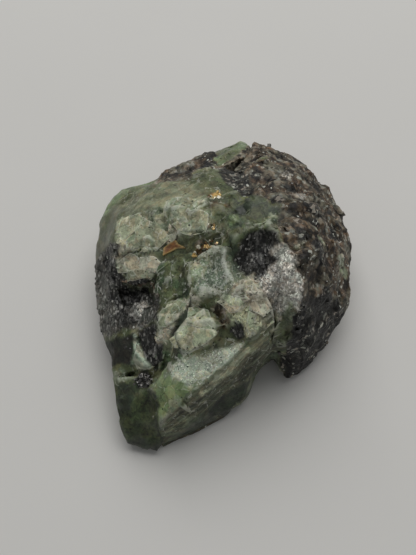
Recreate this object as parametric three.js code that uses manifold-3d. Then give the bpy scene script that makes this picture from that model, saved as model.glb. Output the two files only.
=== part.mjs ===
// A hand-sized stone of rough tsavorite garnet grown together with graphite gneiss.
// Millimetres, +Z up. It rests on its flat underside, with the origin at the middle of its footprint.
import * as THREE from "three";
import { ConvexGeometry } from "three/addons/geometries/ConvexGeometry.js";
import { ImprovedNoise } from "three/addons/math/ImprovedNoise.js";
import { TessellateModifier } from "three/addons/modifiers/TessellateModifier.js";
import { mergeVertices } from "three/addons/utils/BufferGeometryUtils.js";
import Module from "manifold-3d";

const wasm = await Module();
wasm.setup();

// Driving dimensions.
const FACET = 4.6; // longest edge of a broken face
const FAR = 100; // further than any point of the stone from its middle
const FOOT_DEPTH = 6; // how far the masses run on below the resting face before it is cut flat
const WEAR_PITCH = 7; // spacing of the swells on every face
const GARNET_WEAR = 1; // depth of the swells on the garnet
const GNEISS_WEAR = 1.4; // on the gneiss
const SIDE_WEAR = 2; // and low on the sides, behind the broken front
const WEAR_SEEDS = [3.1, 17.7, 41.3]; // shift the swells along X, Y and Z apart
const CHIPS = 50; // angular chips standing on top of the garnet
const LUMPS = 68; // rounded lumps standing on the gneiss

const perlin = new ImprovedNoise();

// ---------------------------------------------------------------- shapes

// A solid from any closed three.js geometry.
function solid(geometry) {
  const loose = geometry.index ? geometry.toNonIndexed() : geometry;
  const bare = new THREE.BufferGeometry().setAttribute("position", loose.getAttribute("position"));
  const merged = mergeVertices(bare, 1e-4);
  return new wasm.Manifold(
    new wasm.Mesh({
      numProp: 3,
      vertProperties: new Float32Array(merged.getAttribute("position").array),
      triVerts: new Uint32Array(merged.index.array),
    }),
  );
}

// The faces of the largest shell alone, which leaves out pockets sealed in between the masses.
function outerFaces(faces, cornerCount) {
  const shellOf = Array.from({ length: cornerCount }, (_, corner) => corner);
  const find = (corner) => {
    while (shellOf[corner] !== corner) corner = shellOf[corner] = shellOf[shellOf[corner]];
    return corner;
  };
  for (let i = 0; i < faces.length; i += 3) {
    shellOf[find(faces[i])] = find(faces[i + 1]);
    shellOf[find(faces[i + 1])] = find(faces[i + 2]);
  }
  const sizes = new Map();
  for (const corner of faces) sizes.set(find(corner), (sizes.get(find(corner)) ?? 0) + 1);
  const [largest] = [...sizes].reduce((best, next) => (next[1] > best[1] ? next : best));
  return faces.filter((corner) => find(corner) === largest);
}

// The outer shell of a solid, as a geometry.
function geometryOf(manifold) {
  const mesh = manifold.getMesh();
  const faces = outerFaces(mesh.triVerts, mesh.vertProperties.length / 3);
  const geometry = new THREE.BufferGeometry();
  geometry.setAttribute("position", new THREE.BufferAttribute(mesh.vertProperties, 3));
  geometry.setIndex(new THREE.BufferAttribute(faces, 1));
  geometry.computeVertexNormals();
  return geometry;
}

// The convex body that spans a list of corners.
function block(corners) {
  return solid(new ConvexGeometry(corners.map((corner) => new THREE.Vector3(...corner))));
}

// A raised slab whose top follows the given corners and whose root widens below them.
function plate(corners, depth = 5, flare = 1.25) {
  const middle = new THREE.Vector3();
  corners.forEach((corner) => middle.add(new THREE.Vector3(...corner)));
  middle.divideScalar(corners.length);
  const root = corners.map(([x, y, z]) => [
    middle.x + (x - middle.x) * flare,
    middle.y + (y - middle.y) * flare,
    z - depth,
  ]);
  return block([...corners, ...root]);
}

// The wedge that leaves a pit: its rim's corners, spread above the face and drawn in below it.
function pit(rim, depth) {
  const floor = rim.map(([x, y, z]) => [x, y, z - depth]);
  return plate(floor, -2 * depth, 1.8);
}

// ---------------------------------------------------------------- masses

const masses = [
  // the heart, which lies just under the broken faces and joins everything
  block([
    [-20, 6, 14], [-19, -9, 12], [-16, -20, 10], [-11, -25, 9], [-1, -20.5, 15], [7, -15, 19],
    [10, -9, 26], [5, -3, 27.6], [-3, -9, 24], [-9, -3, 20.5], [-9, 7, 23], [2, 11, 25.5], [12, 8, 25],
    [0, 24, 16], [-13, 18, 16], [-17, -22, 5], [3, -20, 4], [20, 10, 8], [19, -6, 6],
    [-15, -15, -FOOT_DEPTH], [-6, -20, -FOOT_DEPTH], [14, -8, -FOOT_DEPTH], [14, 14, -FOOT_DEPTH],
    [0, 19, -FOOT_DEPTH], [-13, 12, -FOOT_DEPTH],
  ]),
  // the root, which closes the clefts low down on the left and at the back
  block([
    [-18, -27, 4.5], [-20.2, -18, 6], [-23.8, 2.6, 7.5],
    [-24.2, 9, 8], [-22.3, 16.5, 10], [-15.8, 22.3, 10.5],
    [-9, 28, 10], [-1, 30.3, 11], [6.8, 30.8, 12], [10, 29.4, 12],
    [-11.2, -30.6, 1.5], [-21.5, -9, 2], [-23, 9, 4], [-17, 18.5, 3], [-3, 28, 5], [9, 28, 3],
    [-12, -26, -FOOT_DEPTH], [-15, -14, -FOOT_DEPTH], [-16, 4, -FOOT_DEPTH], [-12, 13, -FOOT_DEPTH],
    [-4, 20, -FOOT_DEPTH], [6, 21, -FOOT_DEPTH],
  ]),
  // the broad pale garnet face, from its left rim up to the crest beside the gneiss
  block([
    [-25.2, 3.8, 8.5], [-25.8, 7.2, 9], [-25.4, 12.4, 11], [-23.7, 16.2, 12],
    [-19.7, 20.7, 12.6], [-14.8, 21.6, 12.8], [-3, 26, 15],
    [-19.7, 9.6, 18.6], [-14, 15, 20.2], [-3.2, 18, 22.3], [2.2, 19.8, 20],
    [-6, 8, 25.5], [-2, 0.5, 26.3], [5, 4, 28.2],
    [-21.5, 5, 16], [-20.3, -1.8, 15], [-15.3, -4.6, 17.4], [-11.3, 1, 21.3],
    [-16, 4, -FOOT_DEPTH], [-12, 13, -FOOT_DEPTH], [0, 17, -FOOT_DEPTH], [0, -5, -FOOT_DEPTH],
  ]),
  // the sugary bench with its long straight edge over the front flank
  block([
    [-11.1, -29, 11.5], [-13.1, -23.7, 12.5], [-10.3, -20.2, 15.5], [-5.8, -19.2, 18.3],
    [2.2, -18.2, 19.3], [8.2, -15.9, 22], [-1.4, -23, 16.6],
    [-10, -29.4, 5], [-3.2, -25.4, 7], [1.9, -22.2, 8], [6.2, -19.3, 9], [9.1, -16.2, 15],
    [-11.2, -31, 0], [-4.1, -27.6, -1], [1.3, -25, -1], [4, -21.6, 1], [6, -18.8, 5],
    [-12, -20, -FOOT_DEPTH], [3, -16, -FOOT_DEPTH], [8, -12, 4],
  ]),
  // the dark glassy toe at the lowest corner
  block([
    [-12.5, -32.3, 2], [-15.8, -31.9, 2.5], [-17.7, -31, 3],
    [-18.4, -28.1, 5], [-18.9, -23.9, 6], [-20.6, -19.9, 7],
    [-14.5, -21, 12], [-13, -23.8, 11.5], [-11.4, -28, 8.5], [-10.5, -30, 3.5],
    [-12, -30.5, -1], [-16, -29, -1], [-18, -24, -FOOT_DEPTH],
    [-17, -18, -FOOT_DEPTH], [-9, -25, -FOOT_DEPTH],
  ]),
  // the graphite flank down the left side
  block([
    [-20.6, -19.9, 7], [-21.7, -13.7, 7], [-23.1, -10.5, 7],
    [-24.7, -6.8, 7], [-25.2, -2.7, 7], [-24.8, 4.5, 8],
    [-21.5, 4, 13], [-20.9, -2.2, 14], [-15.5, -6, 14],
    [-13.5, -12, 14.2], [-12, -19.5, 13], [-15.5, -18, 10.5],
    [-21, -15, 3], [-16, -15, -FOOT_DEPTH], [-18, -4, -FOOT_DEPTH],
    [-16, 2, -FOOT_DEPTH], [-10, -10, -FOOT_DEPTH],
  ]),
  // the rounded gneiss that makes the whole right side
  block([
    [8.9, 30.1, 15], [14.9, 29.3, 14], [18, 27.1, 13],
    [21.5, 22.9, 12], [24.6, 18.2, 11], [25.9, 12.5, 10],
    [26.3, 4.9, 9], [25.6, -3.3, 8], [24.5, -6.3, 6], [22.2, -9.1, 5], [19.1, -12.8, 4], [16.1, -16.4, 2],
    [13.6, -17, 1.5], [11.8, -15.9, 3],
    [9.5, -14.2, 20], [13.5, -11, 25], [13, -14.8, 20.5], [6.9, -0.8, 30],
    [10.8, -5.7, 29], [14.4, 7.4, 27.5], [16.4, -4.9, 26.5],
    [12.5, 17, 23], [8, 23.1, 20], [20.2, -7.6, 17], [23.4, 6.4, 16],
    [2, 6, 28], [2.2, 19.8, 19], [7.4, 31.3, 14.5],
    [20, 21, 4], [24.6, 8, 3], [22, -6, 2],
    [14, 16, -FOOT_DEPTH], [18, 6, -FOOT_DEPTH], [16, -5, -FOOT_DEPTH], [12, -12, -FOOT_DEPTH],
    [6, -2, -FOOT_DEPTH], [4, 19, -FOOT_DEPTH],
  ]),
  // the smooth dark knob at the back left
  block([
    [-14.8, 21.6, 12.8], [-12.7, 24.7, 11], [-10.9, 26.2, 12],
    [-7.4, 29.4, 12], [-1.5, 31.2, 13], [-7.4, 25, 15.5],
    [-1, 25, 16.5], [-14, 20, 14], [-12, 21, 2], [-3, 26, 1], [0, 16, -FOOT_DEPTH], [-8, 14, -FOOT_DEPTH],
    [-8, 27, 6], [8, 26, 3],
  ]),
  // the clear green point behind the gneiss
  block([
    [-2.5, 25, 15.6], [-0.8, 30.8, 13], [4.3, 32.6, 14],
    [6.5, 31.8, 13.5], [5.5, 26, 17.4], [0.5, 22, 18.4],
    [-2, 29, 6], [5, 30, 6], [6, 20, 10], [-3, 20, 10],
  ]),
];

// Plates left standing between the fractures.
const plates = [
  // clear slope under the rust seam
  plate([
    [-11, -1, 20.6], [-6, -2, 24], [-3.5, -6.5, 24.5],
    [-4.5, -10.5, 22.5], [-10.5, -9, 18.5], [-13, -5.5, 18],
  ]),
  // frosted patch in the middle
  plate([
    [-6.5, -5, 25.2], [-2, -3, 26.8], [1.5, -3.5, 28], [3.5, -8, 27.6],
    [2, -10.5, 26], [-1.5, -12, 24.5], [-6, -11.5, 23],
  ]),
  // two plates above the bench
  plate([
    [-12.5, -12, 17.5], [-10.5, -10, 19], [-6.5, -10.5, 21],
    [-6, -14, 21], [-8.5, -15.5, 19.5], [-11.5, -15, 17.5],
  ]),
  plate([
    [-8.5, -17, 20], [-6, -14, 22.5], [-2.5, -13, 24],
    [-1, -17, 22.5], [-3, -19, 21], [-6.5, -20, 19],
  ]),
  // beige block
  plate([
    [2, -9.5, 27], [7, -10, 26], [9, -15, 22],
    [4, -18.5, 20.5], [1, -17.5, 21.5], [-1.5, -12.5, 24.5],
  ], 7, 1.1),
  // pale plates on the broad face
  plate([
    [-14, 14.5, 20.5], [-3, 17, 22.5], [-1.5, 10, 25],
    [-3, 4.5, 26.5], [-10.5, 7.5, 24.5], [-17, 11, 20.5],
  ]),
  plate([
    [-21.5, 4.5, 16.5], [-19.5, 8.5, 18.5], [-15.5, 8.5, 21.5],
    [-10.5, 6, 24.5], [-9, 2.5, 24], [-11, 1, 22],
    [-15.5, 1.5, 20], [-19.5, 2, 18],
  ]),
  plate([
    [-20.5, 1, 15.5], [-18.5, 2.5, 17.5], [-13.5, 0, 20.5],
    [-11.5, -1.5, 20], [-14.5, -5, 18], [-19, -4, 16],
  ]),
  plate([
    [-9.5, 6.5, 25.5], [-3, 6.5, 27], [-1.5, 1, 27],
    [-6, 1, 26], [-7.5, 0.5, 24.5], [-10, 2.5, 24],
  ]),
  // green shoulder between the pale face and the gneiss
  plate([
    [1, 9.5, 26.5], [6, 9.5, 27.8], [10, 4.5, 28.8], [8.5, -0.5, 29.5],
    [4.5, -1.5, 29.5], [1.5, -2, 28], [0, 4, 27],
  ]),
  plate([[0.5, 1, 27.5], [2.5, 1.5, 29.2], [3.5, -2, 29.2], [2, -3.5, 28]]),
  // graphite tongue and the glassy plates beside it
  plate([[-15, -12.5, 15], [-11.5, -12.5, 17], [-10, -17, 16], [-12, -20.5, 13.5], [-14, -15.5, 13.5]]),
  plate([[-21, -12.5, 8.5], [-17.5, -11, 12], [-15.5, -13.5, 13], [-15.5, -18, 11.5], [-19.5, -18, 8]]),
  plate([[-14.5, -14, 14], [-13, -17, 13.5], [-13, -20.5, 12.5], [-15.5, -20, 11], [-16.5, -18, 11.5]]),
  plate([[-20.5, -19.5, 7.5], [-19, -18, 8.5], [-17.5, -18.5, 9], [-18, -20, 8.5], [-20, -20.5, 7]]),
  // green patch low on the gneiss
  plate([[9.5, -14.5, 20.5], [13, -13.5, 20], [14, -15, 16], [11.5, -16.5, 15.5], [9, -16, 16.5]]),
];

const pits = [
  // the sparkling graphite hollow under the green shoulder
  pit([
    [2.6, -3.4, 28.5], [6.9, -0.4, 29.5], [10.6, -5, 29.5],
    [8.1, -10.4, 27], [3.8, -9.9, 26.5], [2.1, -5.9, 27],
  ], 2.2),
  // clefts beside the beige block
  pit([[-1, -12, 24.5], [0.4, -16, 22.5], [-1.9, -15, 22.3], [-2.8, -12.2, 23.5]], 1.6),
  pit([[1.4, -15, 23.5], [4.4, -18, 21.5], [2, -18.9, 20.8], [0.8, -16.8, 22]], 1.6),
  // the black pit in the graphite flank
  pit([[-18.5, -4.5, 13.5], [-14, -4.5, 15.5], [-13.5, -7.5, 15], [-17.5, -8, 13]], 2),
];

// ---------------------------------------------------------------- surface

// Whether a place lies on the gneiss, right of a border that leans left towards the back.
function onGneiss({ x, y }) {
  return x > 9.5 - 0.44 * Math.max(0, y - 7);
}

// Whether a place lies on the gneiss above its foot.
function onUpperGneiss(place) {
  return onGneiss(place) && place.z > 5;
}

// Whether a place lies on the upper garnet, on a face that looks up.
function onGarnetTop(place, out) {
  return !onGneiss(place) && place.z > 12 && out.z > 0.4;
}

// How deep the swells run at a place.
function wearAt({ x, y, z }) {
  if (z < 8 && (y > 4 || x > 22)) return SIDE_WEAR;
  return onGneiss({ x, y }) ? GNEISS_WEAR : GARNET_WEAR;
}

// A smooth random value from about -1 to 1.
function swell({ x, y, z }, seed) {
  const value = (pitch) => perlin.noise(x / pitch + seed, y / pitch - seed, z / pitch);
  return value(WEAR_PITCH) + 0.5 * value(WEAR_PITCH / 2);
}

// Breaks long faces into facets and moves every corner by swells, which keeps the shell closed.
function weathered(geometry) {
  const facets = new TessellateModifier(FACET, 12).modify(geometry.toNonIndexed());
  const places = facets.getAttribute("position");
  const point = new THREE.Vector3();
  for (let i = 0; i < places.count; i++) {
    point.fromBufferAttribute(places, i);
    const depth = wearAt(point);
    const [east, north, up] = WEAR_SEEDS.map((seed) => depth * swell(point, seed));
    places.setXYZ(i, point.x + east, point.y + north, point.z + up);
  }
  return facets;
}

// The same sequence of numbers from 0 to 1 on every run.
function dice(seed) {
  let state = seed;
  return () => {
    state = (state * 1664525 + 1013904223) % 4294967296;
    return state / 4294967296;
  };
}

// Places on the outside of the stone, each with the direction that its face looks in.
// They are where lines from all round, slanting down through its inside, first meet it.
function spots(skin, count, seed, wanted) {
  const roll = dice(seed);
  const target = new THREE.Mesh(skin);
  const found = [];
  while (found.length < count) {
    const around = roll() * 2 * Math.PI;
    const slant = 0.2 + 1.2 * roll();
    const inward = new THREE.Vector3(Math.cos(around), Math.sin(around), -slant).normalize();
    const inside = new THREE.Vector3((roll() - 0.5) * 44, (roll() - 0.5) * 56, 6 + roll() * 14);
    const from = inside.addScaledVector(inward, -FAR);
    const [hit] = new THREE.Raycaster(from, inward).intersectObject(target);
    if (!hit || !wanted(hit.point, hit.face.normal)) continue;
    found.push({ place: hit.point, out: hit.face.normal, roll });
  }
  return found;
}

// An angular chip: a random flat prism, most of it sunk in the face it stands on.
function chip({ place, out, roll }) {
  const [length, width, rise] = [1.6 + 2 * roll(), 1.1 + 1.4 * roll(), 0.2 + 0.3 * roll()];
  const corners = [];
  for (const [height, reach] of [[-1.5, 1.1], [rise, 0.75]]) {
    for (let side = 0; side < 5; side++) {
      const turn = ((side + 0.5 * roll()) / 5) * 2 * Math.PI;
      const [along, across] = [Math.cos(turn) * length, Math.sin(turn) * width];
      corners.push(new THREE.Vector3(along * reach, across * reach, height));
    }
  }
  return settle(new ConvexGeometry(corners), { place, out, roll });
}

// A rounded lump, half sunk in the face it stands on.
function lump({ place, out, roll }) {
  const [length, width, rise] = [1.5 + 1.5 * roll(), 1.3 + 1.1 * roll(), 0.5 + 0.4 * roll()];
  return settle(new THREE.IcosahedronGeometry(1, 0).scale(length, width, rise), { place, out, roll });
}

// Turns a small shape so that its Z looks out of the face, leaning a little, and moves it there.
function settle(shape, { place, out, roll }) {
  const lean = new THREE.Vector3(roll() - 0.5, roll() - 0.5, roll() - 0.5).multiplyScalar(0.25);
  const facing = out.clone().add(lean).normalize();
  const turn = new THREE.Quaternion().setFromUnitVectors(new THREE.Vector3(0, 0, 1), facing);
  shape.rotateZ(roll() * Math.PI).applyQuaternion(turn).translate(place.x, place.y, place.z);
  return solid(shape);
}

// ---------------------------------------------------------------- the stone

function stone() {
  const grown = [...masses, ...plates].reduce((all, mass) => all.add(mass));
  const broken = pits.reduce((left, cut) => left.subtract(cut), grown);
  const faces = geometryOf(broken);
  const chips = spots(faces, CHIPS, 7, onGarnetTop).map(chip);
  const lumps = spots(faces, LUMPS, 16, onUpperGneiss).map(lump);
  const covered = [...chips, ...lumps].reduce((all, bit) => all.add(bit), broken);
  const under = new THREE.BoxGeometry(2 * FAR, 2 * FAR, FAR).translate(0, 0, -FAR / 2);
  return solid(weathered(geometryOf(covered))).subtract(solid(under));
}

// Moves a geometry so that the middle of its footprint is the origin.
function centred(geometry) {
  geometry.computeBoundingBox();
  const middle = geometry.boundingBox.getCenter(new THREE.Vector3());
  return geometry.translate(-middle.x, -middle.y, 0);
}

const tsavorite = new THREE.Mesh(
  centred(geometryOf(stone())),
  new THREE.MeshStandardMaterial({ color: 0x5f7358, roughness: 0.5, metalness: 0 }),
);
tsavorite.name = "tsavorite_crystal";

const specimen = new THREE.Group();
specimen.add(tsavorite);

export default specimen;
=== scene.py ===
"""Tsavorite in graphite gneiss: the fine surface, the loose grains and the finishes of a hand specimen."""

import random
from math import cos, pi, radians, sin
from typing import NamedTuple

import bmesh
import bpy
import numpy as np
from bpy.props import FloatProperty, FloatVectorProperty, IntProperty, PointerProperty
from mathutils import Euler, Matrix, Vector, noise


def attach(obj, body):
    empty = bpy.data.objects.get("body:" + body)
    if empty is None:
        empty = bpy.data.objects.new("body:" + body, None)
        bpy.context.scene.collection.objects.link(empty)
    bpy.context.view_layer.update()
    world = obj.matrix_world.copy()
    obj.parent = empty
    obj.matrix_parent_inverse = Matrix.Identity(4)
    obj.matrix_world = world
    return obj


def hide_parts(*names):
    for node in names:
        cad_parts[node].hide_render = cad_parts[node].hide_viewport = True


bl_info = {
    "name": "Tsavorite Hand Specimen",
    "version": (1, 0, 0),
    "blender": (4, 5, 0),
    "location": "View3D > Sidebar > Specimen",
    "description": "Builds the broken surface, grains and flakes of a piece of tsavorite in its gneiss",
    "category": "Object",
}

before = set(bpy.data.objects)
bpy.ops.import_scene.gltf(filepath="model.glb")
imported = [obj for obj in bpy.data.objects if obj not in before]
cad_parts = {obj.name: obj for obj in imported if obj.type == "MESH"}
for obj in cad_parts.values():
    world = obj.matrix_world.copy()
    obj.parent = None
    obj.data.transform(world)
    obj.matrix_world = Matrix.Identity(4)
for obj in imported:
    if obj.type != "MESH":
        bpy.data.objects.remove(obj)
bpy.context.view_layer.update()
NODE = "tsavorite_crystal"
SKIN = "stone_skin"
SKIN_MATERIAL = "weathered_stone"
MM = 0.001

# Lengths are in mm from here on, and outlines are closed lines on the ground plan.
FOOT = 1.6  # height from which loose pieces lie on the stone
SHARD_FOOT = 4.0  # the same for the garnet shards
REST_BAND = 0.8  # height up to which the relief fades out, so that the resting face stays flat
UNDERCUT_BAND = 1.6  # height up to which the sides draw in
PITS = [(-0.5, -16, 1.8), (-1.8, -13.2, 2.0), (-16, -7.2, 2.6)]  # middles and widths, partly filled
# The stretch between the raised plates in which the hollows are partly filled.
HOLLOWS = [
    (-13, -10.5), (-8, -9.5), (-5, -10.5), (-1.5, -9), (3, -8.5), (9, -14), (7, -18), (3.5, -19),
    (-3, -20.5), (-8, -22), (-12, -19), (-13.5, -14),
]
HOLLOW_RIM = 1.5  # width over which the filling of the hollows fades in
PIT_ROUNDS = 6  # steps in which the pits fill up
PIT_BLUR = 12  # rounds of smoothing that give the level of a filled pit
WORN_ROUNDS = 12  # rounds of smoothing that wear a plate calm
RIDGE_ROUNDS = 6  # rounds of smoothing that the ridges are measured against
RIDGE_HEIGHT = 0.25  # height at which a ridge counts in full
CREASE = radians(28)  # angle between faces from which an edge stays sharp
CLOUDY_DEPTH = 0.8  # how deep light reaches into the cloudy garnet
HALVINGS = 8  # rounds of cutting long edges, enough for the longest one
PATCH_EDGE = 0.35  # half the width over which one finish turns into the next
# Reach, size and seed of the bends in the borders of the finishes.
RAGGED = ((0.8, 3.0, 2.0), (0.5, 1.1, 5.0))
STRAIGHT_SHARE = 0.15  # how much of those bends a straight-edged finish has
HIDDEN_WANDER = 6.0  # reach of the wide bends on the back and low on the left
FRONT_LIMIT = -12.5  # place along the stone behind which the front patches don't reach
PLAN_AXES = slice(2)  # across and along
FRONT_AXES = (0, 2)  # across and up
CELL_SEEDS = {"plate": 4.0, "chip": 8.0, "lump": 3.0, "grain": 6.0}  # named for the setting with their size
PLATE_THICKNESS = 0.9
PLATE_RIM = 0.3  # width of each plate's edge that is crushed white
PLATE_BEVEL = 0.07  # how far that edge falls
PLATE_LEVEL = 60  # percentage of the skin's heights under a plate that it lies above
CRUSHED = 0.9  # how much of an edge the crushed rim is
NEVER = 1e9
NOISE_SEED = 3  # without a seed of its own the vector noise is different in each session
EDGE_WAY = Vector((20.5, 14.0, 11.0)).normalized()  # the way that the straight edge and its streaks run
STREAK_REACH = 0.9  # how far the streaks are drawn out along it, from 0 to 1
GOLD_GROOVE = [(-6, -2.6), (-4.5, -1), (-2.2, -0.2), (-1.2, -1), (-2.5, -3), (-5, -4)]
GOLD_SPOTS = [(-2, 9.2, 1.0), (-2.6, 1.5, 0.7)]  # middle and reach
BEAD_SPOT = (-15.2, -21.5, 1.6)
RUST_OUTLINE = [
    (-11.6, -1.2), (-11.5, 0.2), (-10.2, 0.9), (-9.2, 1.2), (-8.8, 0.2), (-7.4, -0.9), (-9.0, -0.5),
    (-10.2, -0.9),
]
RUST_MIDDLE = (-10.0, 0.0)
RUST_THICKNESS = 0.22
LOOKED_AT = Vector((-3.19, -1.33, 13.0))  # the place that the camera looks at


# ---- Sizes and colours that a user may change


def length(name, description, millimetres):
    return FloatProperty(
        name=name, description=description, default=millimetres * MM, unit="LENGTH", precision=5
    )


def share(name, description, default):
    return FloatProperty(name=name, description=description, default=default, min=0.0, max=2.0)


def count(name, description, default):
    return IntProperty(name=name, description=description, default=default, min=0)


def colour(name, red, green, blue):
    return FloatVectorProperty(name=name, default=(red, green, blue), min=0.0, max=1.0, subtype="COLOR")


class StoneSizes(bpy.types.PropertyGroup):
    mesh_step: length("Mesh step", "Longest edge of the skin's faces", 0.82)
    plate: length("Plate size", "Width of the larger broken faces of the garnet", 4.2)
    chip: length("Chip size", "Width of the smaller broken faces", 1.5)
    lump: length("Lump size", "Width of the lumps of the gneiss", 2.8)
    grain: length("Grain size", "Width of the grains of the gneiss", 1.0)
    relief: share("Relief", "Strength of the whole relief", 1.0)
    undercut: length("Undercut", "How far the sides draw in next to the ground", 0.6)
    fill: share("Fill", "How much of each narrow pit is filled", 0.8)


class StonePieces(bpy.types.PropertyGroup):
    shards: count("Shards", "Broken chips of garnet", 420)
    sugar: count("Sugar", "Small glassy grains on the frosted faces", 600)
    flakes: count("Flakes", "Graphite flakes", 1000)
    grains: count("Grains", "Feldspar, quartz and mica grains of the gneiss", 2200)
    scales: count("Gold scales", "Golden scales in the groove", 120)
    # The shining of the cluster is partly painted: a few beads are given a near-white tint.
    beads: count("Beads", "Shining grains of the small dark cluster", 60)


class StoneColours(bpy.types.PropertyGroup):
    olive: colour("The garnet where nothing else shows", 0.16, 0.17, 0.105)
    moss: colour("Yellowish green garnet", 0.105, 0.122, 0.058)
    milky: colour("The smooth outer face", 0.155, 0.165, 0.12)
    slope: colour("The smooth upper slope", 0.222, 0.231, 0.148)
    pale: colour("The frosted broken plates", 0.55, 0.56, 0.40)
    sage: colour("Pale plates that lean to green", 0.27, 0.31, 0.21)
    plate: colour("The plates that stand over the bench", 0.66, 0.70, 0.49)
    cream: colour("Crushed white edges and flakes", 0.68, 0.65, 0.52)
    beige: colour("The greyish plates with feldspar dust", 0.48, 0.46, 0.355)
    block: colour("The block at the end of the bench", 0.53, 0.49, 0.38)
    green: colour("The clearer garnet", 0.096, 0.148, 0.074)
    # This green is also the painted shade of the gully and the hollows, through the finish that uses it.
    pine: colour("Deep garnet near the graphite", 0.045, 0.062, 0.036)
    frost: colour("The upper sugary face", 0.19, 0.235, 0.17)
    bench: colour("The lower sugary face", 0.66, 0.73, 0.60)
    # Painted glow: the thin rims and the clear back point are given this lighter green, as light that passes
    # through them.
    bright: colour("The thin rims", 0.17, 0.23, 0.11)
    point: colour("The clear end of the bench", 0.23, 0.295, 0.14)
    toe: colour("Deep green garnet at the foot", 0.052, 0.069, 0.028)
    flank: colour("The steep front", 0.125, 0.138, 0.088)
    base: colour("The low part of the steep front", 0.095, 0.103, 0.068)
    dark: colour("Deep clear garnet with graphite behind it", 0.016, 0.025, 0.012)
    graphite: colour("The black parts", 0.009, 0.009, 0.008)
    flaky: colour("Graphite that is broken up", 0.078, 0.078, 0.068)
    # Painted sheen: the shine of the graphite is given as this pale colour.
    silver: colour("Graphite that shines", 0.46, 0.445, 0.405)
    brown: colour("The rusty upper gneiss", 0.138, 0.092, 0.056)
    grey: colour("The fresh gneiss", 0.200, 0.178, 0.136)
    # Painted shade: the low front of the gneiss, turned away from the key light, is given this near-black;
    # the black finish and the slab also lean to it.
    shade: colour("The low part of the gneiss", 0.020, 0.0195, 0.0155)
    rust: colour("Iron stain", 0.13, 0.075, 0.028)
    amber: colour("The rusty flake", 0.21, 0.085, 0.02)
    gold: colour("The golden scales", 0.62, 0.43, 0.16)


class StageSettings(bpy.types.PropertyGroup):
    elevation: FloatProperty(
        name="Elevation", description="Camera above the horizon", default=radians(60), unit="ROTATION"
    )
    distance: length("Distance", "Camera to the point that it looks at", 150)
    focal: FloatProperty(name="Focal length", description="Camera lens in millimetres", default=50.0)
    key_power: FloatProperty(
        name="Key light", description="Power of the soft key light", default=3.7, unit="POWER"
    )
    sky: FloatProperty(name="Sky", description="Strength of the even light", default=0.19)
    floor_colour: colour("Pale floor", 0.80, 0.79, 0.765)


# ---- Finishes, and where they lie


class Finish(NamedTuple):
    """How a stretch of the stone looks: the names of its two colours, and its shares from 0 to 1."""

    colour: str
    other: str
    facets: float = 0.3  # broken planes in the surface
    lumps: float = 0.0  # rounded grains in the surface
    frost: float = 0.0  # whitened edges, and sparkle that is partly painted as glint spots in the colour
    metal: float = 0.0  # strokes of shining graphite, their sheen painted into the colour
    glass: float = 0.0  # smooth glassy skin
    grain: float = 0.5  # contrast from grain to grain
    streak: float = 0.0  # streaks that run along the straight edge
    rubble: float = 0.05  # loose chips
    calm: float = 0.2  # how far the broken plates are worn smooth


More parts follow.
